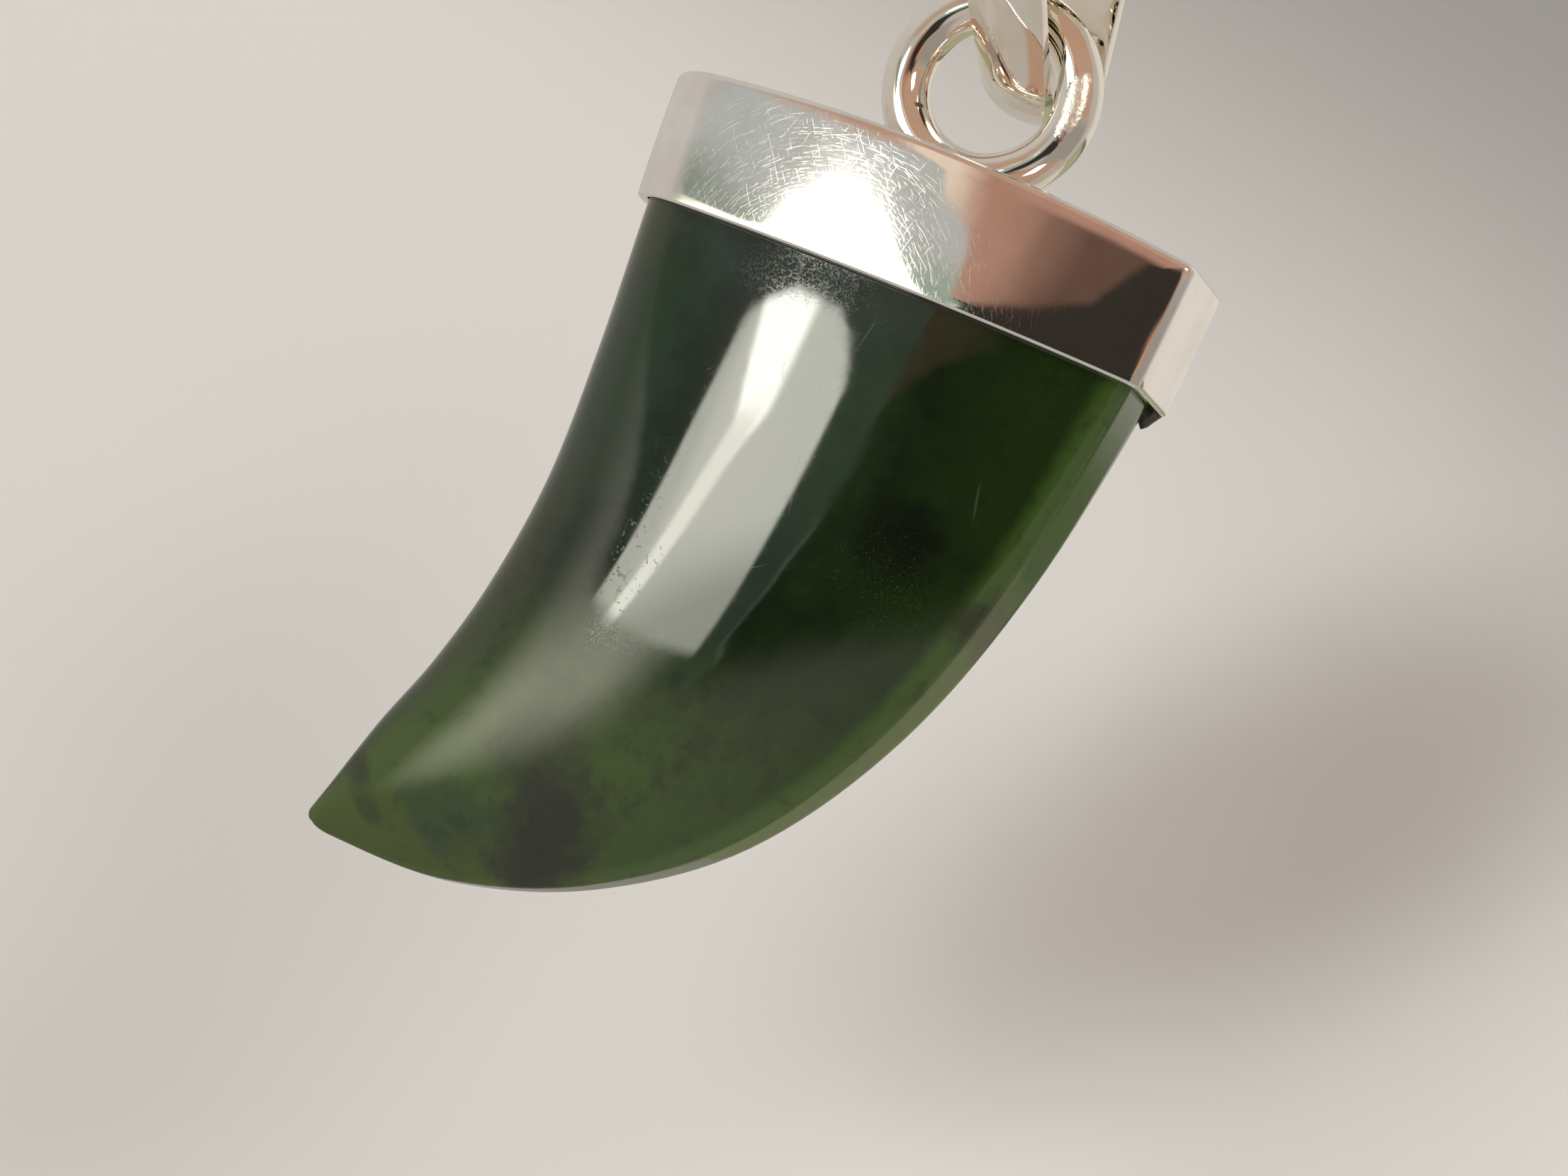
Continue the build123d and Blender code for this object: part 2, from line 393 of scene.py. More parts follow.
# The studio around the pendant, as seen from it. Each zone has its azimuth from the front toward the side
# band and its elevation, in degrees, then the softness of their ends, and how bright and coloured it is. A cut
# (a, e, limit, soft) keeps what lies where a * azimuth + e * elevation is under the limit
studioSetup = {
    "room": (0.50, 0.465, 0.425),
    "allRound": (0.54, 0.485, 0.445),  # what lights the paper and the stone's inside
    "behindCamera": (0.66, 0.62, 0.57),
    "waver": {"scale": 11.0, "across": 5.0, "up": 0.35},  # in the lines of all zones
    "zones": {
        "paperRight": zone((120, 200), (2.6, 60), (15, 1.2), (0.74, 0.69, 0.62)),
        "paperShade": zone((120, 200), (-60, 2.6), (15, 1.2), (0.19, 0.21, 0.13)),
        "paperLow": zone((120, 200), (-60, -2.6), (15, 1.2), (0.40, 0.39, 0.25)),
        "leftCard": zone((-140, -54), (-30, 60), (8, 20), (0.58, 0.545, 0.51)),
        "rightSide": zone((20, 95), (-30, 12), (8, 8), (0.33, 0.30, 0.265)),
        "aboveWindow": zone((-52, -8), (5, 30), (7, 2), (0.46, 0.472, 0.457)),
        "leftGap": zone((-51, -34), (-1, 6), (4, 1.5), (0.25, 0.29, 0.24)),
        "overhead": zone((-44, 80), (13, 78), (8, 2.5), (0.50, 0.325, 0.235)),
        "topCard": zone((-75, 100), (80, 95), (12, 5), (0.60, 0.54, 0.48)),
        "warmCard": zone((-30, 30), (3.5, 18), (3, 2), (0.45, 0.25, 0.18), [(-1, -2.2, -9.2, 0.3)]),
        "warmSide": zone((-9.0, 30), (3.5, 12), (0.4, 2), (0.45, 0.25, 0.18)),
        "paleEdge": zone((-22, -12), (9, 17), (3, 1.5), (0.82, 0.66, 0.52), [(-1, -2.2, -9.2, 0.3)]),
        "warmShade": zone((-2, 30), (3.5, 13), (6, 2), (0.13, 0.074, 0.054)),
        "frontDark": zone((-8.4, 23), (-10, 30), (0.8, 3), (0.034, 0.029, 0.023), [(-0.22, 1, 6.6, 0.35)]),
        "cornerDark": zone((8, 23), (4, 16), (0.8, 3), (0.034, 0.029, 0.023), [(-0.6, 1, 4.2, 0.5)]),
        "rightWarm": zone((21, 33), (2, 8), (1.5, 1.5), (0.50, 0.27, 0.19)),
        "windowFrame": zone((-18, -8.8), (-10, 7), (1.6, 1.2), (0.31, 0.39, 0.31)),
        "frameLow": zone((-10, -7.2), (-9, 3.0), (0.8, 1.5), (0.31, 0.39, 0.31)),
        "frameEdge": zone((-7.7, -7.2), (-9, -0.5), (0.25, 1), (0.75, 0.78, 0.65)),
    },
}
# What shines: the window, its sill glowing below it, and a lamp at the right. The edges mask the other zones
everywhere = (-360, 360)
shineSetup = {
    "window": {
        "edges": zone((-40, -9), (-9, 7.7), (1.2, 0.2), (8.0, 8.0, 6.9), [
            (1, 0.27, -13.1, 0.45), (1, 2.4, -1.9, 0.7), (-1, 3.0, 50.5, 0.8), (-1, 0.69, 37.1, 0.45),
            (-0.29, -1, 10.4, 0.45),
        ]),
        "lowPane": zone(everywhere, (-20, -1.2), (1, 2.4), (4.4, 4.4, 3.7)),
        "leftPane": zone((-60, -32), everywhere, (1.5, 1), (6.6, 6.6, 5.6)),
        "core": zone((-50, -23.4), everywhere, (0.9, 1), (19, 18.8, 17), [
            (-1, -1.15, 23.5, 0.6), (1, -1.9, -31.2, 0.9),
        ]),
        "streak": zone(everywhere, (-2.5, 4.2), (1, 1.0), (12.6, 12.5, 10.9), [
            (-1, 0.9, 31.4, 0.6), (1, -0.9, -28.0, 0.7),
        ]),
    },
    "sill": {"edges": zone((-46, -19), (-13, 1), (8, 9), (3.1, 2.95, 2.4), [(0.29, 1, -10.4, 0.45)])},
    "lamp": {"edges": zone((31, 44), (19, 30), (3, 3), (11, 10.4, 9.4))},
}
shineSizes = {"reach": 20.0, "margins": (1.05, 1.1)}  # metres off, and how much larger than their edges


def anglesOf(tree, direction):
    parts = partsOf(tree, direction)
    azimuth = maths(tree, "ARCTAN2", parts[0], times(tree, parts[1], -1.0))
    elevation = maths(tree, "ARCSINE", parts[2])
    return times(tree, azimuth, 180 / pi), times(tree, elevation, 180 / pi)


def shareOf(tree, across, up, part):
    factors = []
    for value, key, soft, limit in (
        (across, "azimuth", part["soft"][0], 360), (up, "elevation", part["soft"][1], 90),
    ):
        low, high = part[key]
        if low - soft > -limit:
            factors.append(fade(tree, value, low - soft, low + soft))
        if high + soft < limit:
            factors.append(fade(tree, value, high - soft, high + soft, 1.0, 0.0))
    for a, e, limit, soft in part["cuts"]:
        slant = plus(tree, times(tree, up, e), across, a)
        factors.append(fade(tree, slant, limit - soft, limit + soft, 1.0, 0.0))
    return allOf(tree, "MULTIPLY", factors)


def makeStudio(setup):
    world = bpy.data.worlds.new("studio")
    bpy.context.scene.world = world
    world.use_nodes = True
    world.cycles.sampling_method = "NONE"
    tree = world.node_tree
    tree.nodes.clear()
    output = tree.nodes.new("ShaderNodeOutputWorld")
    sight = node(tree, "ShaderNodeTexCoord").outputs["Generated"]
    azimuth, elevation = anglesOf(tree, sight)
    waver = setup["waver"]
    shift = maths(tree, "SUBTRACT", cloudOf(tree, sight, waver["scale"], 1.0), 0.5)
    shift = times(tree, shift, waver["across"])
    azimuth, elevation = plus(tree, azimuth, shift), plus(tree, elevation, shift, waver["up"])
    colour = setup["room"]
    for part in setup["zones"].values():
        colour = mixColour(tree, shareOf(tree, azimuth, elevation, part), colour, part["colour"])
    path = node(tree, "ShaderNodeLightPath").outputs
    light = node(tree, "ShaderNodeBackground", {"Color": colour}).outputs[0]
    for ray, plain in (("Is Diffuse Ray", setup["allRound"]), ("Is Camera Ray", setup["behindCamera"])):
        other = node(tree, "ShaderNodeBackground", {"Color": (*plain, 1)}).outputs[0]
        light = node(tree, "ShaderNodeMixShader", {"Fac": path[ray], 1: light, 2: other}).outputs[0]
    tree.links.new(light, output.inputs["Surface"])
    view = bpy.context.scene.view_settings
    view.view_transform = "Standard"
    view.look = "None"


def makeShine(name, parts, sizes):
    # a light far off that fills the span of its edges and shines as bright as its parts say
    edges, reach = parts["edges"], sizes["reach"]
    left, right = edges["azimuth"][0] - edges["soft"][0], edges["azimuth"][1] + edges["soft"][0]
    low, high = edges["elevation"][0] - edges["soft"][1], edges["elevation"][1] + edges["soft"][1]
    data = bpy.data.lights.new(name, "AREA")
    data.shape = "RECTANGLE"
    data.size = 2 * reach * tan(radians((right - left) / 2)) * sizes["margins"][0]
    data.size_y = 2 * reach * tan(radians((high - low) / 2)) * sizes["margins"][1]
    data.energy = pi * data.size * data.size_y
    data.use_nodes = True
    tree = data.node_tree
    place = node(tree, "ShaderNodeNewGeometry").outputs["Position"]
    across, up = anglesOf(tree, vectorMaths(tree, "NORMALIZE", place)[0])
    colour = edges["colour"]
    for partName, part in parts.items():
        if partName != "edges":
            colour = mixColour(tree, shareOf(tree, across, up, part), colour, part["colour"])
    colour = mixColour(tree, shareOf(tree, across, up, edges), (0.0, 0.0, 0.0), colour)
    tree.links.new(colour, tree.nodes["Emission"].inputs["Color"])
    light = bpy.data.objects.new(name, data)
    back = towards((left + right) / 2, (low + high) / 2)
    light.matrix_world = lookingFrom(back * reach, back)
    light.visible_camera = False
    bpy.context.scene.collection.objects.link(light)


for shineName, parts in shineSetup.items():
    makeShine(shineName, parts, shineSizes)
makeStudio(studioSetup)
print("stage and lights made")


# ---- claw

clawSizes = {
    "width": 21.5, "front": 3.8, "back": 3.2, "side": 2.2, "drop": 27.9, "inCap": 4.0,
    "cornerFront": 0.45, "cornerBack": 1.3,
    "flareLeft": 0.5, "flareRight": 0.2, "capHeight": 5.7,
    "groundReach": 2.2, "groundBack": 0.03,
    "rowsPerSpan": 9, "measuredAt": (20, 35, 70),  # the section's points whose way down is measured
    "tipRings": ((0.8, 0.05), (0.45, 0.09)),  # how wide and how far out
}
# across and down at the left edge, across and down at the right one, then front, back and side depths,
# all as shares of the claw's own sizes at the cap's open edge
clawRows = [
    (-1.00, 0.000, 1.00, 0.000, 1.00, 1.00, 1.00),
    (-0.94, 0.215, 0.89, 0.294, 0.99, 0.94, 0.91),
    (-0.91, 0.412, 0.68, 0.559, 0.93, 0.84, 0.75),
    (-0.95, 0.581, 0.33, 0.778, 0.82, 0.72, 0.57),
    (-1.03, 0.713, -0.14, 0.918, 0.64, 0.55, 0.39),
    (-1.13, 0.821, -0.65, 0.989, 0.42, 0.34, 0.23),
    (-1.22, 0.935, -1.12, 0.998, 0.15, 0.13, 0.09),
    (-1.25, 0.971, -1.235, 0.989, 0.05, 0.05, 0.04),
]


def clawLoop(sizes, row):
    half = sizes["width"] / 2
    left = rim + Vector((row[0] * half, 0, -row[1] * sizes["drop"]))
    right = rim + Vector((row[2] * half, 0, -row[3] * sizes["drop"]))
    across = (right - left).normalized()
    flat = clawSection(
        (right - left).length, sizes["front"] * row[4], sizes["back"] * row[5], sizes["side"] * row[6],
        sizes["cornerFront"] * row[6], sizes["cornerBack"] * row[6],
    )
    points = [left + across * x + Vector((0, y, 0)) for x, y in flat]
    for point in points:  # ground back a little where it goes into the cap
        depth = max(rim.z - point.z, 0.0) / sizes["groundReach"]
        if depth < 1:
            point.y -= (point.y - rim.y) / sizes["front"] * sizes["groundBack"] * (1 - depth) ** 2
    return points, flat


def makeClaw(sizes, rows):
    half, flare = sizes["width"] / 2, sizes["inCap"] / sizes["capHeight"]
    buried = sizes["inCap"] / sizes["drop"]
    left, right = 1 + sizes["flareLeft"] * flare / half, 1 + sizes["flareRight"] * flare / half
    table = [(-left, -buried, right, -buried, 1.0, 1.0, 1.0)] + rows
    bm = bmesh.new()
    across = bm.verts.layers.float.new("across")
    loops, marks, travelled = [], [], 0.0
    edges = None
    for n in range((len(table) - 1) * sizes["rowsPerSpan"] + 1):
        points, flat = clawLoop(sizes, smoothRow(table, n / sizes["rowsPerSpan"]))
        edges = drawLoop(bm, edges, points, n)
        if loops:
            steps = [(points[i] - loops[-1][i]).length for i in sizes["measuredAt"]]
            travelled += sum(steps) / len(steps)
        else:
            bmesh.ops.holes_fill(bm, edges=edges)
        order = bm.verts.layers.int["order"]
        full = flat[sectionSteps["nose"] + sectionSteps["front"]][0]
        for vert in {v for edge in edges for v in edge.verts}:
            vert[across] = flat[vert[order]][0] / full
        loops.append(points)
        marks.append((travelled, lengthsOf(flat + flat[:1])))
    before, tip = (sum(loop, Vector()) / len(loop) for loop in loops[-2:])
    beyond = (tip - before).normalized()
    for share, out in sizes["tipRings"]:
        edges = drawLoop(bm, edges, [tip + (p - tip) * share + beyond * out for p in loops[-1]], len(marks) - 1)
    bmesh.ops.holes_fill(bm, edges=edges)
    paintSurface(bm, sectionCount, lambda n, i: (marks[n][1][min(i, sectionCount)], marks[n][0]))
    return newPiece("jadeClawStone", bm, "pendant", "jade_claw")


claw = makeClaw(clawSizes, clawRows)
print("claw made")


# ---- cap with its ring

capSizes = {
    "wall": 0.42, "seatGap": 0.08, "height": 5.7, "arch": 0.55, "corner": 0.45,
    "crownRound": 0.3, "rimRound": 0.14, "roomHeight": 4.35, "bulge": 0.144, "bulgeCurve": 0.6,
    "roomCorner": 0.25, "lipCorner": 0.3, "cornerLoss": 0.3, "leastCorner": 0.1,
}


def capLoop(height, grown, corner, shrink=0.0):
    flare = height / capSizes["height"]
    half = clawSizes["width"] / 2
    left = half + grown + clawSizes["flareLeft"] * flare - shrink
    right = half + grown + clawSizes["flareRight"] * flare - shrink
    flat = clawSection(
        left + right, clawSizes["front"] + grown - shrink, clawSizes["back"] + grown - shrink,
        clawSizes["side"] + grown - shrink, corner, corner,
    )
    return [rim + Vector((x - left, y, height)) for x, y in flat], flat


def archDrop(x):
    reach = clawSizes["width"] / 2 + capSizes["wall"] + capSizes["seatGap"] + clawSizes["flareLeft"]
    return capSizes["arch"] * ((x - rim.x) / reach) ** 2


def makeCap(sizes):
    room, grown = sizes["seatGap"], sizes["wall"] + sizes["seatGap"]
    bm = bmesh.new()
    marks, edges = [], None

    def add(height, wide, corner, shrink=0.0, arched=0.0):
        nonlocal edges
        points, flat = capLoop(height, wide, corner, shrink)
        edges = drawLoop(bm, edges, [p - Vector((0, 0, archDrop(p.x) * arched)) for p in points], len(marks))
        marks.append((height - shrink, lengthsOf(flat + flat[:1])))

    # inside, from its ceiling down to the open edge, then outside up to the crown
    r = sizes["rimRound"]
    for height in (*(sizes["roomHeight"] * share for share in (1.0, 0.75, 0.5, 0.25)), r):
        add(height, room, sizes["roomCorner"])
    for turn in (radians(a) for a in (30, 60, 90)):
        add(r * (1 - sin(turn)), room + r * (1 - cos(turn)), sizes["lipCorner"])
    for turn in (radians(a) for a in (0, 18, 36, 54, 72, 90)):
        add(r * (1 - cos(turn)), grown - r * (1 - sin(turn)), sizes["corner"])
    top, curve = sizes["height"] - sizes["crownRound"], sizes["bulgeCurve"]
    for share in (0.06, 0.12, 0.2, 0.3, 0.4, 0.5, 0.6, 0.7, 0.8, 0.9, 1.0):
        swell = sizes["bulge"] * (share - 2 * share ** (curve + 1) / (curve + 1))
        add(r + (top - r) * share, grown + swell, sizes["corner"], arched=share)
    grown += swell
    r = sizes["crownRound"]
    for turn in (radians(a) for a in (12, 24, 36, 48, 60, 72, 84, 90)):
        add(top + r * sin(turn), grown, sizes["corner"], shrink=r * (1 - cos(turn)), arched=1.0)
    for shrink in (0.6, 1.0, 1.5, 2.0):
        corner = max(sizes["corner"] - shrink * sizes["cornerLoss"], sizes["leastCorner"])
        add(sizes["height"], grown, corner, shrink=shrink, arched=1.0)
    bmesh.ops.holes_fill(bm, edges=edges)
    bmesh.ops.holes_fill(bm, edges=[e for e in bm.edges if e.is_boundary])
    paintSurface(bm, sectionCount, lambda n, i: (marks[n][1][min(i, sectionCount)], marks[n][0]))
    return newPiece("silverCap", bm, "pendant", "cap_with_ring")


cap = makeCap(capSizes)

ringSizes = {
    "wire": 1.95, "hole": 5.0, "around": 160, "across": 40, "sunk": 1.1,
    "uneven": 0.02, "unevenScale": 0.7, "worn": 0.015,
}


def makeRing(sizes):
    radius = (sizes["hole"] + sizes["wire"]) / 2
    upright = Matrix.Rotation(radians(90), 3, "X")
    bm = bmesh.new()
    made = bmesh.ops.create_circle(bm, segments=sizes["across"], radius=sizes["wire"] / 2)["verts"]
    bmesh.ops.translate(bm, vec=(radius, 0, 0), verts=made)
    bmesh.ops.rotate(bm, cent=(0, 0, 0), matrix=upright, verts=made)
    # the flat circle now stands in the XZ plane, and its spin about Z makes the ring
    bmesh.ops.spin(
        bm, geom=bm.edges[:], cent=(0, 0, 0), axis=(0, 0, 1), angle=2 * pi, steps=sizes["around"],
        use_merge=True,
    )
    bmesh.ops.remove_doubles(bm, verts=bm.verts[:], dist=1e-4)
    uv = bm.loops.layers.uv.new("surface")

    def turnsOf(co):  # round the ring, and round its wire
        return atan2(co.y, co.x), atan2(co.z, hypot(co.x, co.y) - radius)

    for face in bm.faces:
        middle = turnsOf(face.calc_center_median())
        for corner in face.loops:
            turns = zip(turnsOf(corner.vert.co), middle)
            turn, out = (a + 2 * pi * round((m - a) / (2 * pi)) for a, m in turns)  # near the face's middle
            corner[uv].uv = (turn * radius, out * sizes["wire"] / 2)
    for vert in bm.verts:  # the wire is a little uneven
        co = vert.co
        away = co - Vector((co.x, co.y, 0)).normalized() * radius
        vert.co += away * (sizes["uneven"] * noise.noise(co * sizes["unevenScale"]) - sizes["worn"])
    bmesh.ops.rotate(bm, cent=(0, 0, 0), matrix=upright, verts=bm.verts[:])
    bmesh.ops.translate(bm, vec=ringCentre, verts=bm.verts[:])
    return newPiece("solderedRing", bm, "pendant", None)


ring = makeRing(ringSizes)

solderSizes = {
    "reach": 0.32, "climb": 0.34, "steps": 7, "around": 96, "uneven": 0.5, "unevenScale": 1.6,
    "underRing": 0.10, "inCap": 0.01,
}


def makeSolder(sizes):
    # a concave collar where the sunk ring meets the cap's top
    radius = (ringSizes["hole"] + ringSizes["wire"]) / 2
    thick = ringSizes["wire"] / 2
    depth = radius + thick - ringSizes["sunk"]  # from the ring's centre down to the crown
    halfLong = sqrt((radius + thick) ** 2 - depth ** 2)
    crown = Vector((ringCentre.x, ringCentre.y, ringCentre.z - depth))
    bm = bmesh.new()
    edges = None
    for k in range(sizes["steps"] + 1):
        t = k / sizes["steps"]
        points = []
        for i in range(sizes["around"]):
            turn = 2 * pi * i / sizes["around"]
            # an oval on the wire's sides, closed over its flat ends
            lean = Vector((halfLong * cos(turn), thick * sin(turn), 0))
            outward = Vector((cos(turn) / halfLong, sin(turn) / thick, 0)).normalized()
            spot = Vector((cos(turn) * sizes["unevenScale"], sin(turn) * sizes["unevenScale"], 4.0))
            uneven = 1 + sizes["uneven"] * noise.noise(spot)
            point = crown + lean + outward * (sizes["reach"] * t * uneven - sizes["underRing"] * (1 - t))
            point.z += sizes["climb"] * uneven * (1 - t) ** 2 - archDrop(point.x) - sizes["inCap"]
            points.append(point)
        edges = drawLoop(bm, edges, points)
    bmesh.ops.holes_fill(bm, edges=[e for e in bm.edges if e.is_boundary])
    return newPiece("ringSolder", bm, "pendant", None)


solder = makeSolder(solderSizes)
print("cap and ring made")


# ---- bail

bailSizes = {
    "height": 10.0, "width": 4.0, "depth": 6.7, "strip": 0.75, "dome": 5.0, "splay": 13.0, "lip": 2.0,
    "lipCurve": (0.68, 0.4), "foldMiddle": 40.0, "lean": -12.4, "tipBack": 31.2, "turn": -14.2, "edge": 0.12,
    "insideWorn": 0.03, "columns": 13, "steps": 64, "columnGap": 0.35, "stepGap": 0.17, "merge": 2e-3,
    "lineSteps": (16, 16, 40), "faceSteps": 12,
}
bailFace = ((0.0, 0.0), (0.5, 0.07), (0.78, 0.2), (1.0, 0.75), (1.0, 1.0))  # across and up, as shares


def bailLegLine(sizes):
    # half the loop seen from its side, as depth and height: from the point up the leg and over the fold
    half, fold = sizes["depth"] / 2, sizes["height"] - sizes["depth"] / 2
    splay, middle = radians(sizes["splay"]), radians(sizes["foldMiddle"])
    legTop = (half * cos(splay), fold - half * sin(splay))
    legFoot = (legTop[0] - (legTop[1] - sizes["lip"]) * tan(splay), sizes["lip"])
    lipMiddle = (sizes["lipCurve"][0] * legFoot[0], sizes["lipCurve"][1] * sizes["lip"])
    lipSteps, legSteps, foldSteps = sizes["lineSteps"]
    line = arc((0, 0), lipMiddle, legFoot, lipSteps) + spread([legFoot, legTop], legSteps)
    line += arc(legTop, (half * cos(middle), fold + half * sin(middle)), (0, sizes["height"]), foldSteps)
    return line + [(0, sizes["height"])]


def bailHalfWidth(sizes, height):
    shape = [(across * sizes["width"] / 2, up * sizes["height"]) for across, up in bailFace]
    line = arc(*shape[:3], sizes["faceSteps"]) + shape[2:]
    for (xa, za), (xb, zb) in zip(line, line[1:]):
        if zb >= height:
            return xa + (xb - xa) * (height - za) / max(zb - za, tiny)
    return sizes["width"] / 2


def bailOuterLine(sizes, leg, share):
    # the domed outside at one share of the width, cut where it reaches the loop's middle
    centre = sizes["dome"] - sizes["depth"] / 2
    line = []
    for depth, height in leg:
        x = bailHalfWidth(sizes, height) * share
        y = sqrt(max((centre + depth) ** 2 - x * x, 0)) - centre
        if y < 0 and height > sizes["height"] / 2:
            before = line[-1]
            t = before[1] / max(before[1] - y, tiny)
            line.append((x, 0.0, before[2] + (height - before[2]) * t))
            return line
        line.append((x, max(y, 0.0), height))
    return line


def bailInnerLine(sizes, leg, share):
    # one strip's thickness in from the leg's line, flat across
    strip = sizes["strip"] - sizes["insideWorn"]
    line = []
    for (da, ha), (db, hb) in zip(leg, leg[1:]):
        run = hypot(db - da, hb - ha)
        depth = (da + db) / 2 - (hb - ha) / run * strip
        height = (ha + hb) / 2 + (db - da) / run * strip
        if depth > 0.0:
            line.append((depth, height))
    line[0] = (0.0, line[0][1] - line[0][0] * (line[1][1] - line[0][1]) / max(line[1][0] - line[0][0], tiny))
    line.append((0.0, sizes["height"] - strip))
    return [(bailHalfWidth(sizes, h) * share, d, h) for d, h in line]


def evenly(line, steps):
    return spread(line, steps) + [line[-1]]


def makeBail(sizes):
    leg = bailLegLine(sizes)
    columns, steps = sizes["columns"], sizes["steps"]
    shares = [-1 + 2 * c / (columns - 1) for c in range(columns)]
    around = [evenly(bailOuterLine(sizes, leg, s), steps) for s in shares]
    around += [evenly(bailInnerLine(sizes, leg, s), steps) for s in reversed(shares)]
    bm = bmesh.new()
    edges = None
    stations = [(n, -1) for n in range(steps)] + [(n, 1) for n in range(steps, 0, -1)] + [(0, -1)]
    for row, (n, side) in enumerate(stations):
        points = [Vector((line[n][0], line[n][1] * side, line[n][2])) for line in around]
        edges = drawLoop(bm, edges, points, row)
    paintSurface(bm, len(around), lambda n, i: (i * sizes["columnGap"], n * sizes["stepGap"]))
    order = bm.verts.layers.int["order"]
    corners = (0, columns - 1, columns, 2 * columns - 1)
    long = [e for e in bm.edges if e.verts[0][order] == e.verts[1][order] and e.verts[0][order] in corners]
    bmesh.ops.remove_doubles(bm, verts=bm.verts[:], dist=sizes["merge"])
    long = [e for e in long if e.is_valid]
    bmesh.ops.bevel(
        bm, geom=long, offset=sizes["edge"], offset_type="OFFSET", segments=3, profile=0.5, affect="EDGES",
        material=-1, clamp_overlap=True,
    )
    place = Matrix.Translation(Vector((0, 0, sizes["strip"] - sizes["height"])))
    turn = (Matrix.Rotation(radians(sizes["tipBack"]), 4, "X") @ Matrix.Rotation(radians(sizes["lean"]), 4, "Y")
            @ Matrix.Rotation(radians(sizes["turn"]), 4, "Z"))
    bmesh.ops.transform(bm, matrix=turn @ place, verts=bm.verts[:])
    return newPiece("foldedBail", bm, "bail", "bail")


bail = makeBail(bailSizes)
print("bail made")


# ---- resin

resinSizes = {
    "centre": (10.62, 2.25, -0.16), "size": (0.46, 0.5, 0.56), "widen": 0.55,
    "lumps": ((0.22, 1.7), (0.09, 4)), "subdivisions": 4,  # how high and how close
}


def makeResin(sizes):
    bm = bmesh.new()
    made = bmesh.ops.create_icosphere(bm, subdivisions=sizes["subdivisions"], radius=1)["verts"]
    for vert in made:
        vert.co *= 1 + sum(high * noise.noise(vert.co * close) for high, close in sizes["lumps"])
        vert.co.x *= 1 + sizes["widen"] * vert.co.z
        vert.co.y *= 1 + sizes["widen"] * vert.co.z
    bmesh.ops.scale(bm, vec=sizes["size"], verts=bm.verts[:])
    bmesh.ops.translate(bm, vec=rim + Vector(sizes["centre"]), verts=bm.verts[:])
    return newPiece("settingResinBead", bm, "pendant", "setting_resin")


resin = makeResin(resinSizes)
print("resin made")


# ---- finishes

lineLook = {
    "waver": 1.8, "margin": 0.2, "faintest": 0.25,
    "apart": 57.0, "pieces": 1.6, "gaps": (0.60, 0.72), "gapShare": -0.3,
}


def hairlines(tree, waver, across, along, thin, share):
    # thin lines nearly one way, one to each step of across, wavering a little and broken into short pieces.
    # across and along are places on the surface, in the pattern's own steps
    value = plus(tree, across, waver, lineLook["waver"])
    line = maths(tree, "FLOOR", value)
    dice = node(tree, "ShaderNodeTexWhiteNoise", {"W": line}, noise_dimensions="1D").outputs["Color"]
    parts = node(tree, "ShaderNodeSeparateColor", {0: dice}).outputs
    middle = plus(tree, lineLook["margin"], parts[0], 1 - 2 * lineLook["margin"])
    near = maths(tree, "ABSOLUTE", maths(tree, "SUBTRACT", maths(tree, "FRACT", value), middle))
    away = times(tree, parts[1], lineLook["apart"])
    piece = node(tree, "ShaderNodeCombineXYZ", {0: away, 1: along}).outputs[0]
    breaks = cloudOf(tree, piece, lineLook["pieces"], 0.0, noise_dimensions="2D")
    shown = fade(tree, breaks, *(gap + share * lineLook["gapShare"] for gap in lineLook["gaps"]))
    mark = times(tree, fade(tree, near, 0.0, thin, 1.0, 0.0), shown)
    return times(tree, mark, plus(tree, lineLook["faintest"], parts[2], 1 - lineLook["faintest"]))


def straightMarks(tree, surface, waver, turn, across, along, thin, share):
    parts = partsOf(tree, turned(tree, surface, turn, "Z_AXIS"))
    return hairlines(tree, waver, times(tree, parts[0], across), times(tree, parts[1], along), thin, share)


def sweptMarks(tree, position, waver, centre, across, along, thin, share):
    # marks that run in arcs around a place on the front
    parts = partsOf(tree, vectorMaths(tree, "SUBTRACT", position, (centre[0], 0, centre[1]))[0])
    turn = maths(tree, "ARCTAN2", parts[2], parts[0])
    flat = node(tree, "ShaderNodeCombineXYZ", {0: parts[0], 1: parts[2]}).outputs[0]
    out = vectorMaths(tree, "LENGTH", flat)["Value"]
    return hairlines(tree, waver, times(tree, out, across), times(tree, turn, along), thin, share)


def marksOf(tree, position, look):
    surface = node(tree, "ShaderNodeUVMap", uv_map="surface").outputs[0]
    inputs = {"Vector": position, "Scale": look["waverScale"], "Detail": 0.0}
    dice = node(tree, "ShaderNodeTexNoise", inputs).outputs["Color"]
    wavers = node(tree, "ShaderNodeSeparateColor", {0: dice}).outputs
    marks = [sweptMarks(tree, position, wavers[n], *rest) for n, *rest in look.get("arcs", ())]
    marks += [straightMarks(tree, surface, wavers[n], *rest) for n, *rest in look["straight"]]
    return allOf(tree, "ADD", marks)


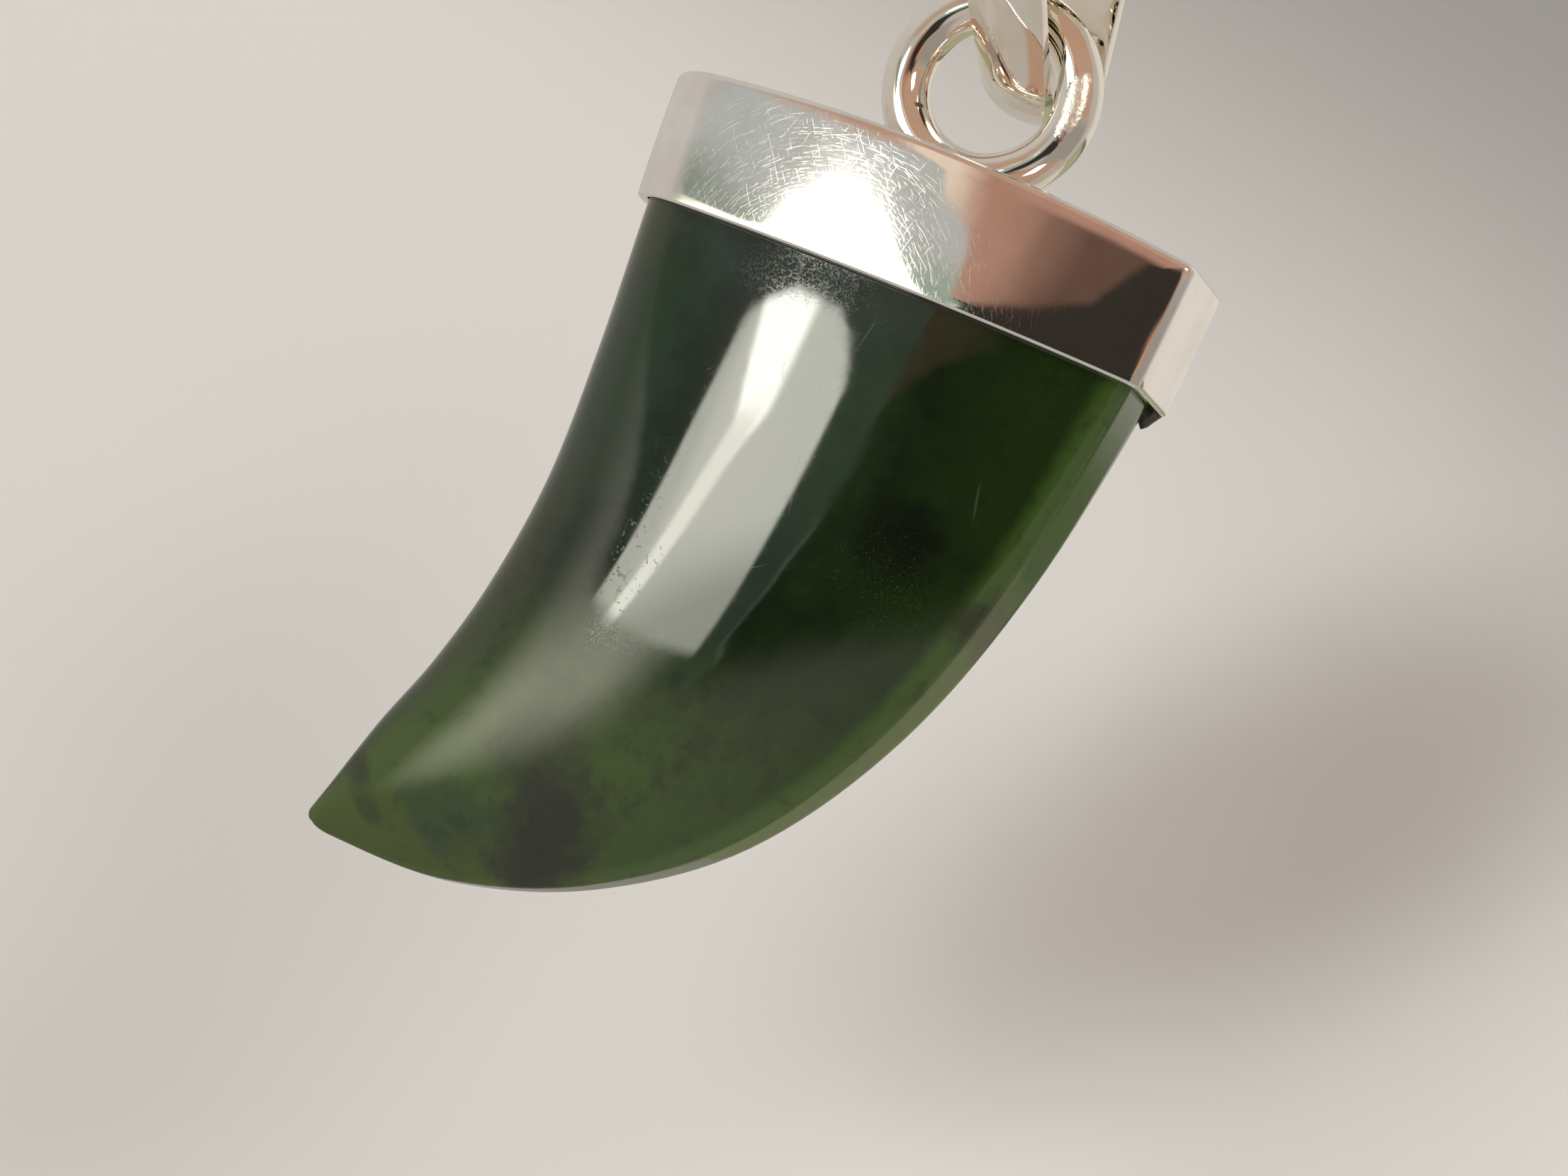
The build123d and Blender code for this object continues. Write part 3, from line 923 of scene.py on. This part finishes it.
# In all looks a mark has the number of its waver, its turn or its arcs' centre, its steps across and along, how
# thin it is and how much of it shows. A place is its centre and half sizes, in mm from the rim's middle.
# Clouds have their scale, detail, roughness and twist, and a span has where it starts and where it is full
capLook = {
    "colour": (0.93, 0.905, 0.875), "shade": (0.84, 0.80, 0.75), "cloudy": (0.35, 0.8),
    "clouds": (0.45, 3.0), "dents": (0.35, 1.0), "dentDepth": 0.000004,
    "polish": 0.04, "haze": 0.012, "scratched": 0.15, "leastWear": 0.15, "waverScale": 0.5,
    "arcs": (
        (0, (-1.8, -1.6), 3.4, 5.0, 0.075, 0.3),
        (1, (-1.2, -2.6), 5.3, 9.0, 0.11, 0.4),
        (2, (-2.6, -0.8), 6.7, 12.0, 0.13, 0.4),
    ),
    "straight": ((1, 20, 3.2, 0.8, 0.06, 0.15), (2, -35, 4.6, 1.7, 0.09, 0.3)),
    # most of the wear lies on the left half of the cap's face
    "rubbed": (
        {"centre": (-3.8, 2.9), "size": (6.6, 4.6), "soft": 0.35, "ragged": 0.3},
        {"centre": (3.5, 1.0), "size": (3.0, 2.0), "soft": 0.6, "ragged": 0.5},
    ),
    "rougher": ({"centre": (-4.6, 2.6), "size": (4.2, 4.0), "soft": 0.5, "ragged": 0.3},), "roughened": 0.030,
}
wireLook = {
    **capLook, "colour": (0.925, 0.885, 0.82), "shade": (0.86, 0.80, 0.70),
    "arcs": (), "straight": ((0, 12, 2.4, 0.6, 0.05, 0.1), (1, 78, 3.1, 0.9, 0.05, 0.1)),
    "rubbed": (), "rubbedClouds": (0.45, 0.7, 0.2, 0.6),
    # a filed place on the wire, and two dark nicks
    "rougher": (
        {"centre": (3.87, 9.5), "size": (0.40, 1.4), "turn": 2, "soft": 0.25, "ragged": 0.4, "scale": 2.0},
        {"centre": (-2.0, 7.4), "size": (0.16, 0.10), "soft": 0.3, "ragged": 0.2},
        {"centre": (1.2, 5.6), "size": (0.14, 0.12), "soft": 0.3, "ragged": 0.2},
    ),
    "roughened": 0.34, "grime": (0.16, 0.11, 0.08), "filed": 6.0, "grooves": (6.0, 2.0),
}


def silverMaterial(name, look):
    material, tree, shader = newMaterial(name)
    position = fromRim(tree)
    cloud = cloudOf(tree, position, *look["clouds"])
    if look["rubbed"]:
        rubbed = allOf(tree, "MAXIMUM", blobsOf(tree, position, look["rubbed"]))
    else:
        rubbed = fade(tree, cloud, *look["rubbedClouds"])
    lines = maths(tree, "MINIMUM", marksOf(tree, position, look), 1.0)
    lines = times(tree, lines, plus(tree, look["leastWear"], rubbed, 1 - look["leastWear"]))
    colour = mixColour(tree, fade(tree, cloud, *look["cloudy"]), look["colour"], look["shade"])
    rough = plus(tree, plus(tree, look["polish"], lines, look["scratched"]), rubbed, look["haze"])
    rougher = blobsOf(tree, position, look["rougher"])
    rough = plus(tree, rough, allOf(tree, "MAXIMUM", rougher), look["roughened"])
    dents = cloudOf(tree, position, *look["dents"])
    if "filed" in look:
        colour = mixColour(tree, allOf(tree, "MAXIMUM", rougher[1:]), colour, look["grime"])
        grooves = times(tree, cloudOf(tree, position, *look["grooves"]), rougher[0])
        dents = plus(tree, dents, grooves, look["filed"])
    shader.inputs["Metallic"].default_value = 1.0
    finishSurface(tree, shader, colour, rough, dents, look["dentDepth"])
    return material


# A zone goes by the height or by the share across. It has the places where it starts and where it is full, how
# ragged it is, its colour and its amount. A patch is a place with its turn, colour and amount
jadeLook = {
    "deep": (0.0050, 0.0120, 0.0050), "mid": (0.0082, 0.0195, 0.0058), "speck": (0.055, 0.078, 0.050),
    "clouds": {
        "soft": (0.16, 3.0, 0.6), "fine": (0.9, 3.0, 0.65), "grain": (5.0, 2.0, 0.6),
        "speckle": (11.0, 1.0, 0.5, 1.0), "waves": (0.5, 2.0),
    },
    "spans": {
        "mid": (0.38, 0.66), "specks": (0.64, 0.72), "dusk": (0.52, 0.72), "polish": (0.35, 0.75, 0.03, 0.055),
        "clouded": (0.48, 0.62), "pits": (0.60, 0.66),
    },
    "zones": {
        "lowEnd": ("height", (-13.0, -24.0), 14.0, (0.0560, 0.1120, 0.0110), 0.85),
        "innerGlow": ("across", (0.62, 0.92), 1.0, (0.0170, 0.0390, 0.0060), 0.6),
        # painted sheen: lighter olive along the left flank, standing in for light reflected there
        "paintedSheenEdge": ("across", (0.20, 0.05), 0.3, (0.038, 0.052, 0.020), 0.8),
        # painted light: lighter green on the flat side band, where light falls on it
        "paintedSheenBand": ("across", (0.955, 0.995), 0.08, (0.052, 0.100, 0.020), 0.9),
        "tip": ("height", (-24.0, -27.0), 6.0, (0.062, 0.092, 0.009), 0.6),
    },
    "wobble": 0.35, "waveDepth": 0.0000012, "patchEdge": {"soft": 0.6, "ragged": 0.9},
    "patches": {
        "tealSide": ((-7.6, -6.0), (2.0, 6.0), -6, (0.018, 0.042, 0.020), 0.75),
        "tealStrip": ((2.0, -6.0), (1.5, 5.0), 4, (0.016, 0.036, 0.012), 0.8),
        "darkCloud": ((5.6, -8.8), (1.9, 1.3), 0, (0.0035, 0.0065, 0.0035), 0.85),
        "brownPatch": ((9.2, -10.3), (1.5, 0.9), 40, (0.020, 0.021, 0.012), 0.8),
        "blackCloud": ((-3.4, -24.6), (1.8, 2.6), -10, (0.0090, 0.0095, 0.0075), 0.85),
        "greyCloud": ((-4.6, -21.8), (2.2, 2.4), 20, (0.018, 0.020, 0.014), 0.5),
        "blotch": ((-11.9, -25.0), (0.55, 0.8), 30, (0.012, 0.012, 0.006), 0.65),
        "lowBlotch": ((-10.9, -26.3), (0.7, 0.35), -30, (0.012, 0.014, 0.006), 0.5),
        "tealZone": ((-7.4, -25.3), (2.2, 1.4), 15, (0.012, 0.036, 0.017), 0.6),
    },
    "specked": {"centre": (5.2, -10.6), "size": (2.6, 1.7), "turn": -30, "soft": 0.6, "ragged": 0.6},
    "specks": 0.6, "leastSpecked": 0.12,
    "scratch": {"centre": (7.25, -6.3), "size": (0.05, 0.65), "turn": 12, "soft": 0.5, "ragged": 0.1},
    "scratchPale": 0.7, "dusk": 0.35,
    "waverScale": 0.4, "straight": ((0, 8, 1.1, 0.35, 0.02, -0.1), (1, -50, 1.7, 0.6, 0.03, -0.2)),
    "cloudy": (
        {"centre": (-3.0, -0.9), "size": (3.4, 1.1), "turn": 8, "soft": 0.6, "ragged": 0.6},
        {"centre": (-4.6, -17.2), "size": (2.6, 1.0), "turn": 20, "soft": 0.6, "ragged": 0.6},
    ),
    "pitted": {"centre": (-4.1, -13.6), "size": (1.0, 3.2), "turn": 8, "soft": 0.6, "ragged": 0.7},
    "leastPitted": 0.1, "scratched": 0.12, "clouded": 0.085, "pits": 0.16,
    "body": {
        "IOR": 1.62, "Subsurface Weight": 0.12,
        "Subsurface Radius": (0.4, 1.0, 0.35), "Subsurface Scale": 0.0012,
    },
}


def jadeMaterial(name, look):
    material, tree, shader = newMaterial(name)
    position = fromRim(tree)
    across = node(tree, "ShaderNodeAttribute", attribute_name="across").outputs["Fac"]
    places = {"across": across, "height": partsOf(tree, position)[2]}
    clouds = {key: cloudOf(tree, position, *numbers) for key, numbers in look["clouds"].items()}
    spans = look["spans"]
    colour = mixColour(tree, fade(tree, clouds["soft"], *spans["mid"]), look["deep"], look["mid"])
    wobble = times(tree, maths(tree, "SUBTRACT", clouds["fine"], 0.5), look["wobble"])
    for by, span, ragged, zoneColour, amount in look["zones"].values():
        share = fade(tree, plus(tree, places[by], wobble, ragged), *span)
        colour = mixColour(tree, share, colour, zoneColour, amount)
    for centre, size, turn, patchColour, amount in look["patches"].values():
        share = blob(tree, position, centre, size, turn, **look["patchEdge"])
        colour = mixColour(tree, share, colour, patchColour, amount)
    specked = plus(tree, look["leastSpecked"], blob(tree, position, **look["specked"]))
    specks = times(tree, fade(tree, clouds["speckle"], *spans["specks"]), specked)
    colour = mixColour(tree, specks, colour, look["speck"], look["specks"])
    scratch = blob(tree, position, **look["scratch"])
    colour = mixColour(tree, scratch, colour, look["speck"], look["scratchPale"])
    colour = mixColour(tree, fade(tree, clouds["fine"], *spans["dusk"]), colour, look["deep"], look["dusk"])
    rough = fade(tree, clouds["fine"], *spans["polish"])
    rough = plus(tree, rough, marksOf(tree, position, look), look["scratched"])
    clouded = allOf(tree, "MAXIMUM", blobsOf(tree, position, look["cloudy"]))
    clouded = times(tree, clouded, fade(tree, clouds["speckle"], *spans["clouded"]))
    rough = plus(tree, rough, clouded, look["clouded"])
    pitted = plus(tree, look["leastPitted"], blob(tree, position, **look["pitted"]), 1 - look["leastPitted"])
    rough = plus(tree, rough, times(tree, fade(tree, clouds["grain"], *spans["pits"]), pitted), look["pits"])
    for key, value in look["body"].items():
        shader.inputs[key].default_value = value
    finishSurface(tree, shader, colour, rough, clouds["waves"], look["waveDepth"])
    return material


resinLook = {
    "dark": (0.022, 0.017, 0.014), "pale": (0.075, 0.062, 0.052),
    "grain": (3.0, 4.0), "rough": (0.3, 0.7, 0.35, 0.75), "bump": (0.00004, 0.6),
}


def resinMaterial(name, look):
    material, tree, shader = newMaterial(name)
    grain = cloudOf(tree, fromRim(tree), *look["grain"])
    colour = mixColour(tree, grain, look["dark"], look["pale"])
    finishSurface(tree, shader, colour, fade(tree, grain, *look["rough"]), grain, *look["bump"])
    return material


wireSilver = silverMaterial("wireSilver", wireLook)
for piece, material in (
    (claw, jadeMaterial("polishedJade", jadeLook)), (cap, silverMaterial("wornSilver", capLook)),
    (ring, wireSilver), (solder, wireSilver), (bail, wireSilver),
    (resin, resinMaterial("darkResin", resinLook)),
):
    piece.data.materials.append(material)
print("finishes made")
